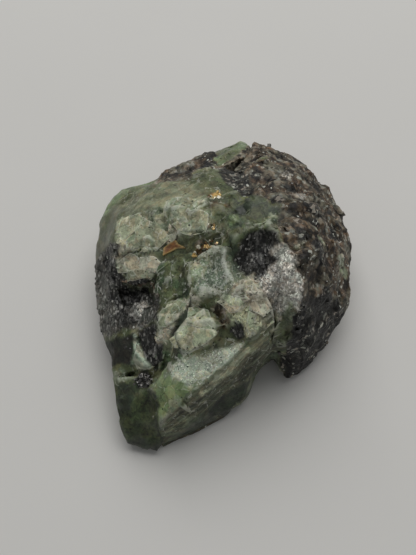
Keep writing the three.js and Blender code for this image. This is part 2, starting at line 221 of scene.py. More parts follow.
SHARES = Finish._fields[2:]
FINISHES = {
    "olive": Finish("olive", "moss", facets=0.6, frost=0.3, calm=0.7),
    "milky": Finish("milky", "olive", facets=0.1, glass=0.5, grain=0.2, rubble=0.0, calm=0.7),
    "slope": Finish("slope", "slope", facets=0.5, frost=0.2, glass=0.2, grain=0.4, calm=0.95),
    "pale": Finish("pale", "sage", facets=0.7, frost=0.6, grain=0.6, rubble=0.15, calm=0.5),
    "plate": Finish("plate", "pale", facets=0.5, frost=0.6, grain=0.6, rubble=0.1, calm=0.0),
    "sage plate": Finish("sage", "plate", facets=0.5, frost=0.6, grain=0.6, rubble=0.1, calm=0.0),
    "cream": Finish("cream", "beige", facets=0.6, frost=0.7, grain=0.6, rubble=1.0),
    "beige": Finish("beige", "sage", facets=0.8, frost=0.5, grain=0.8, rubble=0.4),
    "block": Finish("block", "plate", facets=0.5, frost=0.6, grain=0.9, rubble=0.6, calm=0.0),
    "clear": Finish("green", "moss", facets=0.7, frost=0.55, glass=0.3, grain=1.1, rubble=0.15),
    # Dark green garnet, and painted shade in the gully under the pale plates, along the top of the beige
    # plates and in the hollow right of the block.
    "deep_green_and_painted_shade": Finish("pine", "moss", facets=0.5, frost=0.1, glass=0.25, grain=1.0, calm=0.6),
    "sugar": Finish("frost", "sage", facets=0.25, frost=0.84, grain=0.8, calm=0.5),
    "bench": Finish("bench", "sage", facets=0.15, frost=1.0, rubble=0.0, calm=0.0),
    "worn bench": Finish("bench", "bench", facets=0.15, frost=1.0, rubble=0.0, calm=1.0),
    # Painted glow of light through the thin garnet.
    "bright": Finish("bright", "moss", frost=0.2, glass=0.5, grain=0.4),
    "point": Finish("point", "sage", frost=0.3, glass=0.2, rubble=0.0, calm=0.8),
    "dark": Finish("dark", "pine", facets=0.5, glass=0.6, grain=0.9),
    "toe": Finish("dark", "toe", facets=0.7, frost=0.05, glass=0.5, grain=1.3, rubble=0.0),
    # Dark garnet blotched with olive, its darkness partly painted shade low on the steep front.
    "mottled_and_painted_shade": Finish("dark", "olive", facets=0.7, frost=0.05, glass=0.3, grain=1.5, streak=0.4,
        rubble=0.0),
    "slab": Finish("dark", "shade", facets=0.4, grain=1.2),
    "flank": Finish("flank", "base", frost=0.3, grain=0.7, streak=1.0, rubble=0.0, calm=0.0),
    "wedge": Finish("bench", "frost", frost=0.3, glass=0.3, rubble=0.0, calm=0.0),
    "edge": Finish("pale", "slope", facets=0.1, frost=0.4, streak=0.6, rubble=0.0, calm=0.0),
    "base": Finish("base", "pine", facets=0.4, frost=0.1, glass=0.3, grain=0.6, streak=0.7, rubble=0.0,
        calm=0.3),
    "graphite": Finish("graphite", "graphite", facets=0.9, metal=0.4, grain=0.8, calm=0.3),
    "flaky": Finish("flaky", "graphite", facets=0.9, metal=0.5, grain=1.0, calm=0.3),
    "silver": Finish("silver", "silver", facets=0.9, metal=1.0, grain=0.6, calm=0.3),
    "brown": Finish("brown", "grey", lumps=0.9, metal=0.1, grain=1.0, calm=0.3),
    "grey": Finish("grey", "brown", lumps=1.0, metal=0.1, grain=1.0, calm=0.3),
    "black": Finish("graphite", "shade", lumps=0.9, metal=0.15, grain=0.9, calm=0.3),
    "glitter": Finish("grey", "brown", lumps=0.9, metal=0.15, grain=1.0, calm=0.3),
    # Painted shade on the low front of the gneiss.
    "shade": Finish("shade", "graphite", lumps=0.9, metal=0.15, grain=1.0, calm=0.3),
    "rust": Finish("rust", "moss", facets=0.6, frost=0.1, glass=0.3, grain=0.8),
    "gold": Finish("gold", "rust", facets=0.6, frost=0.2, glass=0.3, grain=0.8),
}
UNDERSIDE = FINISHES["grey"]
STRAIGHT_EDGED = {"flank", "edge", "wedge", "point", "bench", "slab"}

# Each patch is a finish and its outline, and a later one covers an earlier one.
PATCHES = [
    ("milky", [(-30, 3), (-23, 4), (-21, 9), (-20, 12), (-23, 16), (-30, 18)]),
    # Painted glow along the thin rim at the far left.
    ("bright", [(-30, 12), (-24, 13), (-22, 16), (-19, 17), (-14, 15), (-13, 22), (-23, 24)]),
    ("slope", [(-20.5, 13.5), (-18, 16), (-14, 15), (-6.5, 15.5), (-3, 19), (-2, 17), (-4, 11), (-9, 6),
        (-19, 9)]),
    ("pale", [(-21, 3), (-21, 8.5), (-13, 9), (-3, 8.5), (-2.5, 1), (-9, 0.5), (-13, 0.5), (-17, 0)]),
    ("brown", [(-14, 15), (-12.5, 34), (-1.5, 34), (-1.5, 26), (-5, 21), (-7, 16)]),
    ("black", [(-5, 20.5), (-4, 25), (-2, 30), (-1, 22), (-3, 20.5)]),
    ("slope", [(-19, 9), (-4, 11), (-1, 8), (-2, 1), (-6, 0.5), (-12, 1), (-20, 3)]),
    ("olive", [(-7, 15.5), (-4.5, 18), (-2, 18), (-1.5, 14), (-3, 11), (-5.5, 11.5)]),
    ("pale", [(-15, 6.5), (-11, 8.5), (-5, 8.5), (-3, 6.5), (-5, 4.5), (-9, 4), (-13, 4.5)]),
    ("pale", [(-21.5, 5.5), (-20.5, 8), (-18, 8), (-13, 7), (-11, 5), (-10, 2), (-12, 0), (-17, 1),
        (-20, 3)]),
    ("pale", [(-10.5, 2), (-11, 6), (-7.5, 7), (-3, 6), (-2, 2.5), (-5, 0.5), (-8.5, 1)]),
    ("beige", [(-21.5, 0), (-19.5, 2), (-14, 0), (-12.5, -2.5), (-13, -4.5), (-16, -5), (-20, -3)]),
    # Painted shade along the top edge of the beige plates.
    ("deep_green_and_painted_shade", [(-18, 1.2), (-14.5, 0.5), (-13.5, -0.5), (-16, -0.3)]),
    ("brown", [(-2, 20), (0.5, 17.5), (2.5, 9), (6.5, 7), (10, 5), (14, 3), (40, 3), (40, 40), (-2, 40)]),
    ("grey", [(10, 5), (9, -0.5), (11, -4), (13, -10), (13.5, -14), (11, -18), (18, -30), (40, -20),
        (40, 8), (22, 11)]),
    ("glitter", [(7.5, 20), (13, 19), (17, 12), (15.5, 7), (11, 9.5), (8, 13)]),
    # Painted shade: the low front of the gneiss, turned away from the light.
    ("shade", [(12.5, -12), (22, -6), (40, -8), (40, -34), (11, -34), (11, -18)]),
    ("black", [(-1.5, 21), (3.5, 19.5), (5, 9), (5.5, 6.5), (3, 7), (1, 12), (-0.5, 15)]),
    ("olive", [(-4, 12), (-0.5, 14), (1.5, 8), (1, 3.5), (0.5, -1), (-2, -0.5), (-2.5, 5), (-4, 7)]),
    ("deep_green_and_painted_shade", [(0, 9), (2.5, 8), (6.5, 7), (10, 5), (9, 1), (6.5, 0), (3.5, -2), (1.5, -2.5), (0, 1)]),
    ("clear", [(4, 1), (6.5, 1.5), (8, 3), (9, 4), (8.5, 0.5), (6.5, 0.2), (4.5, -1)]),
    # Painted glow on the thin clear point at the back.
    ("bright", [(-2, 21.5), (-1, 34), (7, 36), (4.5, 27.5), (2, 24.5), (-0.5, 22.5)]),
    # Painted shade in the gully under the pale plates.
    ("deep_green_and_painted_shade", [(-10.5, 0.8), (-8.5, 0.8), (-4.5, 0), (-2.5, -3), (-5.5, -4.5), (-9, -2), (-11.5, -1)]),
    ("clear", [(-12, -2.5), (-7, -3), (-6.5, -7), (-5.5, -10.5), (-7, -10), (-11, -9.5), (-14, -7),
        (-13.5, -4)]),
    ("sugar", [(-6.5, -5), (-3.5, -2), (0.5, -4), (2, -6), (2.5, -11), (0, -12.5), (-3.5, -12), (-5.5, -10),
        (-6.5, -7)]),
    ("dark", [(0, -1.5), (0.8, -1), (2.8, -4.5), (1.8, -5.5), (0.5, -4)]),
    ("graphite", [(2, -4), (4, -1), (7, 0), (9, -2), (11, -4), (10.5, -6), (8, -7.5), (6.5, -10),
        (3.5, -8.5), (1.5, -5.5)]),
    ("flaky", [(8, -5.5), (9, -3.2), (11, -3.8), (12.5, -7), (10, -8)]),
    # Painted sheen: the shining graphite in these two patches is given a pale colour and many painted
    # strokes.
    ("silver", [(9.5, -4.2), (10.5, -3.2), (12.5, -6), (12, -7.5), (10, -7)]),
    ("silver", [(5, -10.5), (5.5, -9), (7.5, -6.5), (9.5, -6), (11, -6), (12.5, -7.5), (13.5, -10),
        (13, -14.5), (10.5, -15.5), (8.5, -15), (7, -12.5)]),
    ("brown", [(12.5, -4.5), (14, -5.5), (17.5, -7.5), (16.5, -9), (14, -11.5), (13, -8)]),
    ("flaky", [(-30, 5), (-23, 5), (-20, 2.5), (-21, -1), (-18.5, -3.5), (-14.5, -4.5), (-12, -9.5),
        (-12.5, -12.5), (-16.5, -13), (-19, -12), (-22, -13), (-30, -12)]),
    ("slab", [(-30, -12), (-19.5, -13.5), (-17, -13.5), (-15.5, -15), (-17, -19), (-20, -18), (-30, -19)]),
    ("wedge", [(-17, -14), (-15.5, -17), (-14, -19), (-13, -20), (-15, -20), (-17.5, -18.5), (-17, -16)]),
    ("graphite", [(-16.5, -13), (-13.5, -13), (-11, -17.5), (-11.5, -20), (-13, -20), (-14, -19),
        (-15.5, -16.5)]),
    ("plate", [(-13, -13), (-10.5, -10), (-8, -10), (-7, -12.5), (-7.5, -15.5), (-10, -15.5),
        (-12.5, -14)]),
    ("plate", [(-9.5, -18), (-7, -15), (-4.5, -13.5), (-2, -13.5), (-2, -18), (-4.5, -19.5), (-7, -20)]),
    ("cream", [(-12.5, -14.5), (-10.5, -14.5), (-9, -15.5), (-10.5, -16.5), (-12.5, -16)]),
    ("dark", [(-7.8, -12.5), (-6, -11.7), (-4, -12.3), (-6, -13.2), (-7, -15.3), (-9.5, -17), (-9.8, -16)]),
    ("clear", [(-13.5, -19), (-11, -17.5), (-7, -20), (-3, -19), (-2, -20), (-7, -21), (-11, -20.5)]),
    ("bench", [(-10.5, -21), (-7, -20.5), (-3.5, -19.8), (1, -19), (4, -18), (1.5, -20.5), (-3.5, -24.2),
        (-6, -25.8), (-9.5, -23.5)]),
    ("worn bench", [(-10, -21.3), (-7, -20.8), (-3.5, -20.2), (0.5, -19.4), (2, -18.9), (0.5, -20),
        (-4, -23.2), (-6.2, -24.5), (-9, -23)]),
    ("point", [(-14.5, -21.5), (-10.5, -21), (-9.5, -23.5), (-5.5, -25.5), (-9.5, -29), (-12, -30),
        (-12.5, -26)]),
    ("block", [(-2, -12.8), (2.5, -9.5), (4.5, -8), (6.5, -10.5), (9, -14), (7.5, -16), (3.5, -17.5),
        (0, -15)]),
    ("toe", [(-19.5, -24.5), (-17, -24.5), (-14.5, -23), (-12.5, -26), (-12, -29.5), (-10, -30), (-10, -36),
        (-24, -36), (-24, -25)]),
    ("deep_green_and_painted_shade", [(-24, -21.5), (-19, -21.5), (-16.5, -20.5), (-15.5, -23), (-17.5, -25), (-24, -25)]),
]
# The same for the steep front, with outlines across and up.
FRONT_PATCHES = [
    ("flank", [(-12, 11), (-6.5, 14), (0.5, 17), (6.5, 20), (10, 20), (11, 14), (11, -2), (-9, -2),
        (-11.5, 2.5)]),
    ("edge", [(-7.5, 13.5), (0.5, 17), (6.5, 20), (9.5, 20), (9, 18.5), (7, 17.8), (2, 14.8), (-5.5, 11.5),
        (-8, 11)]),
    ("base", [(-12, 2.5), (-8.5, 4.5), (-4.5, 7), (2, 7.5), (4, 8.5), (7, 4), (7, -2), (-12, -2)]),
    # Partly painted shade low on the steep front.
    ("mottled_and_painted_shade", [(-3, 7), (1.5, 8), (3.5, 9.5), (5, 7.5), (3, 3), (0.5, 1.5), (-1, 2), (-3, 5)]),
]
# Each broken plate is a finish and its outline.
PLATES = [
    ("sage plate", [(-12.5, -12.5), (-11.5, -11), (-9, -11), (-8, -12.5), (-9.5, -15), (-12, -14.5)]),
    ("sage plate", [(-10.5, -10), (-8.5, -10), (-7, -11.5), (-7.5, -13), (-9, -11)]),
    ("plate", [(-10, -17.5), (-7, -16), (-4.5, -17), (-2.5, -17.5), (-2, -18.5), (-4, -19.5), (-6.5, -20),
        (-9, -19)]),
    ("sage plate", [(-7, -16), (-6.5, -12.5), (-5, -12.5), (-3, -13.5), (-2.5, -16.5), (-2.5, -17.5),
        (-4.5, -17)]),
    ("block", [(-1.5, -13), (1, -11.5), (3, -9.5), (4.5, -9.5), (4, -12.5), (2.5, -14.5), (0.5, -14.5)]),
    ("cream", [(4.5, -9.5), (6, -11.5), (8, -14), (6.5, -15), (4, -14), (4, -12.5)]),
    ("plate", [(4, -14), (6.5, -15), (8.5, -15), (6.5, -17), (4, -18), (3.5, -16)]),
    ("graphite", [(-16, -14), (-14, -14), (-12, -17), (-11.5, -19.5), (-13, -20), (-14, -19), (-15, -17)]),
    ("wedge", [(-17, -18), (-16.5, -15.5), (-15.5, -17), (-14, -19), (-13, -20), (-14.5, -20),
        (-16.5, -19.5)]),
    ("beige", [(-20.5, 0), (-18, 1), (-16, -0.5), (-16, -2.5), (-18.5, -2.5), (-20.5, -2)]),
    ("cream", [(-16, -0.5), (-13.5, -1), (-12, -2.5), (-13, -4), (-14.5, -3), (-16, -2.5)]),
    ("beige", [(-18.5, -2.5), (-16, -2.5), (-14.5, -3), (-13, -4), (-14, -4.5), (-17, -4), (-18.5, -4)]),
    ("pale", [(-21, 5.5), (-20, 7.5), (-16.5, 8), (-15, 6), (-17, 4.5), (-19, 3.5)]),
    ("pale", [(-17, 4.5), (-15, 6), (-12.5, 4.5), (-11, 3), (-10.5, 1.5), (-13, 0), (-16, 1.5),
        (-17, 2.5)]),
    ("pale", [(-10, 3.5), (-7, 4.5), (-4.5, 5), (-3, 3.5), (-3.5, 0.5), (-6.5, 0.5), (-8.5, 1.5)]),
    ("cream", [(-10.8, 0.8), (-11.5, 3.4), (-10.8, 2.7), (-10.3, 3.9), (-9.9, 2.5), (-8.4, 2.6),
        (-9.4, 1.1)]),
]
# Each dab is a finish, and the middle and width of a small round blotch.
DABS = [
    ("cream", -14.5, -2, 2.2), ("cream", -16, 5.7, 1.4), ("cream", -14.2, 6.3, 1.2), ("cream", -9, 2, 2.0),
    ("cream", -5.8, -5.2, 1.3), ("cream", -7, -11.3, 1.3), ("cream", -5.4, -12.2, 1.2),
    # The green dab at the end of this line and the first on the next line are painted glow on thin garnet.
    ("cream", 5.2, -12, 2.6), ("cream", 4.8, -14.8, 1.8), ("bright", 1.8, -2.2, 1.8),
    ("bright", 1.2, 2.2, 2.2), ("pale", -19.7, -20, 2.4), ("dark", 3, 4, 2.4), ("gold", -2, 9.2, 1.8),
    ("gold", -2.6, 1.5, 1.3), ("rust", 1, 6, 1.8), ("rust", -2.2, 6.4, 1.6), ("gold", -4, -2, 2.6),
    ("rust", -9.8, -0.3, 2.6), ("rust", 11, 1.5, 1.6), ("rust", 8, 21.5, 1.6), ("beige", 17.8, 1.0, 1.8),
    ("beige", 13, -4, 1.3), ("beige", 23, 0.5, 2.6), ("beige", 11, -14.5, 2.4), ("pale", 8.5, 2.8, 1.2),
    ("black", 12.4, 11.5, 2.6), ("black", 9.2, 6.2, 2.4), ("black", 16, 6.5, 3.4),
    ("black", 13.5, -1.5, 3.4), ("black", 17, -2.8, 3.8), ("black", 21, 6, 3.4), ("black", 15, -13, 3.0),
    # The shining graphite dabs at the end of this line and on the next line have their sheen painted into a
    # pale colour.
    ("black", 5.5, 15, 2.4), ("black", 9, 12, 1.8), ("black", 19, -9, 3.0), ("silver", 12.4, 16, 1.6),
    ("silver", 14.5, 10, 1.8), ("silver", 9, -4, 1.6), ("silver", -15.5, -8.5, 2.4),
    ("brown", -1.2, -14, 1.8), ("brown", -0.2, -15.6, 1.5), ("graphite", 2.2, -17, 2.4),
    # The last dab is painted shade in the hollow below the gneiss, right of the block.
    ("graphite", -15.2, -21.5, 3.4), ("deep_green_and_painted_shade", 10.5, -15.5, 2.6),
]


def smooth_step(value, low, high):
    t = np.clip((value - low) / (high - low), 0.0, 1.0)
    return t * t * (3.0 - 2.0 * t)


def wander(places, size, seed):
    """A smooth random vector at each place, in a field whose features are about size wide."""
    offset = Vector((seed, seed * 0.7, -seed))
    return np.array([noise.noise_vector(Vector(p) / size + offset) for p in places])


def rolling(places, size, seed):
    """A smooth uneven value round 0 at each place, with features about size wide."""
    offset = Vector((seed, seed, seed))
    return np.array([noise.fractal(Vector(p) / size + offset, 1.0, 2.0, 3) for p in places])


def distance_outside(plan, outline):
    """Distance from each point of the plan to a closed outline, negative inside it."""
    nearest = np.full(len(plan), NEVER)
    inside = np.zeros(len(plan), bool)
    for (ax, ay), (bx, by) in zip(outline, outline[1:] + outline[:1]):
        edge = np.array((bx - ax, by - ay), float)
        away = plan - (ax, ay)
        along = np.clip(away @ edge / (edge @ edge), 0.0, 1.0)
        nearest = np.minimum(nearest, np.linalg.norm(away - along[:, None] * edge, axis=1))
        if by != ay:
            crossing = ax + (plan[:, 1] - ay) * (bx - ax) / (by - ay)
            inside ^= ((ay > plan[:, 1]) != (by > plan[:, 1])) & (plan[:, 0] < crossing)
    return np.where(inside, -nearest, nearest)


def within(distance):
    """1 well inside a patch, 0 well outside it, and a soft border between."""
    return smooth_step(-distance, -PATCH_EDGE, PATCH_EDGE)


class Domains:
    """The stone broken into cells about size wide, each with random values of its own."""

    def __init__(self, places, size, seed):
        shift = Vector((seed, -seed, seed * 0.3))
        self.size = size
        self.away = np.empty((len(places), 3))
        self.chance = np.empty((len(places), 3))
        self.nearest = np.empty(len(places))
        for i, place in enumerate(places):
            q = Vector(place) / size + shift
            distances, centres = noise.voronoi(q)
            self.away[i] = q - centres[0]
            self.chance[i] = noise.cell_vector(centres[0])
            self.nearest[i] = distances[0]

    def planes(self, slope, step):
        """Height of a surface in which each cell is a tilted plane, a small step off its neighbours."""
        tilt = (self.away * (self.chance - 0.5)).sum(axis=1)
        return 2.0 * slope * self.size * tilt + step * (self.chance[:, 0] - 0.5)

    def domes(self, height):
        """Height of a surface in which each cell is a rounded grain."""
        return (0.45 - self.nearest) * self.size * height


def bent_borders(places, normals):
    """The places moved about, so that the borders of the finishes are ragged, and more so out of sight."""
    ragged = sum((reach * wander(places, size, seed) for reach, size, seed in RAGGED), places)
    low_left = smooth_step(-normals[:, 0], 0.3, 0.7) * smooth_step(-places[:, 2], -11.0, -7.0)
    low_back = smooth_step(normals[:, 1], 0.3, 0.7) * smooth_step(-places[:, 2], -16.0, -10.0)
    hidden = np.maximum(low_back, low_left)
    return ragged + HIDDEN_WANDER * hidden[:, None] * wander(places, size=7.0, seed=12.0)


def survey(places, normals, plates):
    """The colour and the shares of the finish at each place. Each plate leans to one of its two colours."""
    colours = bpy.context.scene.stone_colours
    ragged = bent_borders(places, normals)
    leaning = plates.chance[:, 1] + 0.3 * rolling(places, size=4.0, seed=7.0)
    lean = smooth_step(leaning, 0.3, 0.8)[:, None]
    tint = np.zeros((len(places), 3))
    shares = {name: np.zeros(len(places)) for name in SHARES}

    def cover(finish, amount):
        first, second = (np.array(getattr(colours, name)) for name in (finish.colour, finish.other))
        tint[:] += amount[:, None] * (first + lean * (second - first) - tint)
        for name in SHARES:
            shares[name] += amount * (getattr(finish, name) - shares[name])

    def cover_patches(patches, axes, limit):
        for name, outline in patches:
            bends = STRAIGHT_SHARE if name in STRAIGHT_EDGED else 1.0
            plan = (places + bends * (ragged - places))[:, axes]
            cover(FINISHES[name], limit * within(distance_outside(plan, outline)))

    everywhere = np.ones(len(places))
    cover(FINISHES["olive"], everywhere)
    cover_patches(PATCHES, PLAN_AXES, everywhere)
    front = smooth_step(-normals[:, 1], 0.3, 0.5) * (places[:, 1] < FRONT_LIMIT)
    cover_patches(FRONT_PATCHES, FRONT_AXES, front)
    for name, x, y, width in DABS:
        cover(FINISHES[name], within(np.linalg.norm(ragged[:, :2] - (x, y), axis=1) - width / 2))
    cover(UNDERSIDE, smooth_step(-normals[:, 2], 0.3, 0.8))

    level = 1.0 + shares["grain"] * 0.7 * (plates.chance[:, 2] - 0.5)
    across = places - STREAK_REACH * (places @ np.array(EDGE_WAY))[:, None] * np.array(EDGE_WAY)
    level += shares["streak"] * 0.9 * rolling(across, size=1.1, seed=3.0)
    tint *= np.clip(level, 0.3, 2.0)[:, None]
    return tint, shares


def relief(places, normals, shares, cells):
    """How far the skin stands out from the plain stone at each place, in mm."""
    sizes = bpy.context.scene.stone_sizes
    lumps = cells["lump"].domes(height=0.22) + cells["grain"].domes(height=0.45)
    planes = cells["plate"].planes(slope=0.09, step=0.22) + cells["chip"].planes(slope=0.07, step=0.04)
    height = 0.2 * rolling(places, size=5.0, seed=1.5) + shares["facets"] * planes + shares["lumps"] * lumps
    height = height * sizes.relief * smooth_step(places[:, 2], 0.0, REST_BAND)
    sideways = 1.0 - np.abs(normals[:, 2])
    return height - sizes.undercut / MM * sideways * (1.0 - smooth_step(places[:, 2], 0.0, UNDERCUT_BAND))


# ---- Meshes


def read(items, field, width, kind=np.float32):
    """One field of many vertices, edges or faces, a row for each."""
    values = np.empty(len(items) * width, kind)
    items.foreach_get(field, values)
    return values.reshape(-1, width)


def read_points(mesh):
    return read(mesh.vertices, "co", 3).astype(float)


def read_normals(mesh):
    return read(mesh.vertex_normals, "vector", 3).astype(float)


def read_share(mesh, name):
    return read(mesh.attributes[name].data, "value", 1)[:, 0].astype(float)


def read_tint(mesh):
    return read(mesh.attributes["tint"].data, "color", 4)[:, :3].astype(float)


def write_points(mesh, points):
    mesh.vertices.foreach_set("co", points.astype(np.float32).ravel())
    mesh.update()


def write_tint(mesh, tint):
    opaque = np.column_stack([tint, np.ones(len(tint))]).astype(np.float32)
    mesh.attributes.new("tint", "FLOAT_COLOR", "POINT").data.foreach_set("color", opaque.ravel())


def write_finish(mesh, tint, ridge, shares):
    """Gives a mesh all that the stone's own material reads."""
    write_tint(mesh, tint)
    for name, values in {"ridge": ridge, **shares}.items():
        attribute = mesh.attributes.new(name, "FLOAT", "POINT")
        attribute.data.foreach_set("value", np.asarray(values, np.float32))


def smoothed(mesh, points, rounds):
    """The points after each has moved to the middle of its neighbours a number of times."""
    a, b = read(mesh.edges, "vertices", 2, np.int32).T
    neighbours = np.bincount(a, minlength=len(points)) + np.bincount(b, minlength=len(points))
    for _ in range(rounds):
        total = np.zeros_like(points)
        for axis in range(points.shape[1]):
            total[:, axis] += np.bincount(a, points[b, axis], len(points))
            total[:, axis] += np.bincount(b, points[a, axis], len(points))
        points = total / neighbours[:, None]
    return points


def finished_mesh(bm, name):
    mesh = bpy.data.meshes.new(name)
    bm.to_mesh(mesh)
    bm.free()
    return mesh


def linked_object(name, data):
    thing = bpy.data.objects.new(name, data)
    bpy.context.scene.collection.objects.link(thing)
    return thing


def piece_object(mesh, material):
    """Adds a finished piece to the scene and lets it ride with the stone."""
    piece = linked_object(mesh.name, mesh)
    mesh.materials.append(material)
    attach(piece, "root")
    return piece


def refined(source, step):
    """The stone's own mesh, cut finer until no edge is longer than step."""
    bm = bmesh.new()
    bm.from_mesh(source)
    bmesh.ops.remove_doubles(bm, verts=bm.verts, dist=1e-7)
    for _ in range(HALVINGS):
        bmesh.ops.subdivide_edges(bm, edges=[e for e in bm.edges if e.calc_length() > step], cuts=1)
        bmesh.ops.triangulate(bm, faces=[f for f in bm.faces if len(f.verts) > 3], quad_method="SHORT_EDGE")
    return finished_mesh(bm, SKIN)


def fill_pits(mesh, points, fill):
    """Raises the floors of the pits and of the hollows between the plates, in the mesh and in its points."""
    normals = read_normals(mesh)
    plan = points[:, :2] / MM
    in_pit = smooth_step(-distance_outside(plan, HOLLOWS), 0.0, HOLLOW_RIM)
    for x, y, width in PITS:
        away = np.linalg.norm(plan - (x, y), axis=1)
        in_pit = np.maximum(in_pit, 1.0 - smooth_step(away, 0.5 * width, width))
    for _ in range(PIT_ROUNDS):
        shift = smoothed(mesh, points, PIT_BLUR) - points
        raised = (shift * normals).sum(axis=1) > 0
        points += (in_pit * fill * raised)[:, None] * shift
    write_points(mesh, points)


# ---- Small pieces that lie on the skin


class Spot(NamedTuple):
    """Where one small piece lies: its place, the way out of the stone and the nearest point of the skin."""

    place: Vector
    out: Vector
    point: int


class Lie(NamedTuple):
    """How small pieces lie: the ranges of their radius and of the share of it that is sunk, and a lean."""

    radius: tuple
    sink: tuple
    lean: float


def shape_arrays(bm):
    """The points and triangles of a small shape."""
    bmesh.ops.triangulate(bm, faces=bm.faces)
    bm.verts.index_update()
    points = np.array([v.co for v in bm.verts])
    corners = np.array([[v.index for v in f.verts] for f in bm.faces])
    bm.free()
    return points, corners


def chip_shapes(seed, kinds, corners, scale):
    """Crisp many-sided chips, each the hull of a few points round an ellipsoid."""
    rng = random.Random(seed)
    shapes = []
    for _ in range(kinds):
        bm = bmesh.new()
        for _ in range(corners):
            direction = Vector(rng.gauss(0, 1) for _ in range(3)).normalized()
            bm.verts.new(Vector(d * s for d, s in zip(direction, scale)))
        bmesh.ops.convex_hull(bm, input=bm.verts)
        bmesh.ops.delete(bm, geom=[v for v in bm.verts if not v.link_faces], context="VERTS")
        bmesh.ops.recalc_face_normals(bm, faces=bm.faces)
        shapes.append(shape_arrays(bm))
    return shapes


def flake_shapes(seed, kinds, thickness):
    """Thin uneven six-sided plates with a radius of about 1."""
    rng = random.Random(seed)
    shapes = []
    for _ in range(kinds):
        bm = bmesh.new()
        bmesh.ops.create_cone(bm, cap_ends=True, segments=6, radius1=1.0, radius2=0.92, depth=thickness)
        for v in bm.verts:
            v.co.x *= rng.uniform(0.75, 1.15)
            v.co.y *= rng.uniform(0.75, 1.15)
        shapes.append(shape_arrays(bm))
    return shapes


def skin_mesh():
    return bpy.data.objects[SKIN].data


def skin_plan():
    return read_points(skin_mesh())[:, :2] / MM


def skin_height(x, y):
    """The height of the skin at a place of the plan."""
    hit, where, _, _ = bpy.data.objects[SKIN].ray_cast(Vector((x, y, 60.0)) * MM, Vector((0, 0, -1)))
    if not hit:
        raise RuntimeError("nothing of the stone lies under a flake")
    return where.z / MM


def share_over(name, least):
    """What each point of the skin has of a share past least, and nothing close to the ground."""
    mesh = skin_mesh()
    return np.clip(read_share(mesh, name) - least, 0, 1) * (read_points(mesh)[:, 2] > FOOT * MM)


def surface_spots(rng, amount, wanted):
    """Random spots on the skin, in proportion to area and to wanted, a value for each of its points."""
    mesh = skin_mesh()
    areas = read(mesh.polygons, "area", 1)[:, 0].astype(float)
    corners = read(mesh.polygons, "vertices", 3, np.int32)
    weight = np.cumsum(areas * wanted[corners].mean(axis=1))
    spots = []
    for _ in range(amount):
        face = mesh.polygons[int(np.searchsorted(weight, rng.random() * weight[-1]))]
        spots.append(Spot(face.center.copy(), face.normal.copy(), face.vertices[0]))
    return spots


def placement(rng, spot, lie):
    """The matrix of a shape that stands on the surface, sunk by a share of its radius and leaning."""
    radius = rng.uniform(*lie.radius) * MM
    sink = rng.uniform(*lie.sink)
    upright = spot.out.to_track_quat("Z", "Y").to_matrix().to_4x4()
    lean = [rng.uniform(-lie.lean, lie.lean) for _ in range(2)]
    turn = Euler((*lean, rng.uniform(0, 2 * pi))).to_matrix().to_4x4()
    size = Matrix.Diagonal((radius, radius, radius, 1.0))
    return Matrix.Translation(spot.place - spot.out * radius * sink) @ upright @ turn @ size


def joined_copies(name, shapes, matrices, rng):
    """One mesh with a shape at each matrix, none of it under the ground, and whose copy each point is."""
    points, corners, owners = [], [], []
    start = 0
    for owner, matrix in enumerate(matrices):
        shape_points, shape_corners = rng.choice(shapes)
        turned = shape_points @ np.array(matrix.to_3x3()).T + np.array(matrix.translation)
        turned[:, 2] = np.maximum(turned[:, 2], 0.0)
        points.append(turned)
        corners.append(shape_corners + start)
        owners.append(np.full(len(turned), owner))
        start += len(turned)
    mesh = bpy.data.meshes.new(name)
    mesh.from_pydata(np.vstack(points), [], np.vstack(corners))
    return mesh, np.concatenate(owners)


def scatter(name, seed, amount, wanted, shapes, lie, tint_one, material):
    """Spreads copies of a few small shapes over the skin as one piece."""
    rng = random.Random(seed)
    spots = surface_spots(rng, amount, wanted)
    matrices = [placement(rng, spot, lie) for spot in spots]
    skin_tint = read_tint(skin_mesh())
    tints = np.array([tint_one(rng, Vector(skin_tint[spot.point])) for spot in spots])
    mesh, owners = joined_copies(name, shapes, matrices, rng)
    write_tint(mesh, tints[owners])
    piece_object(mesh, material)


# ---- Materials


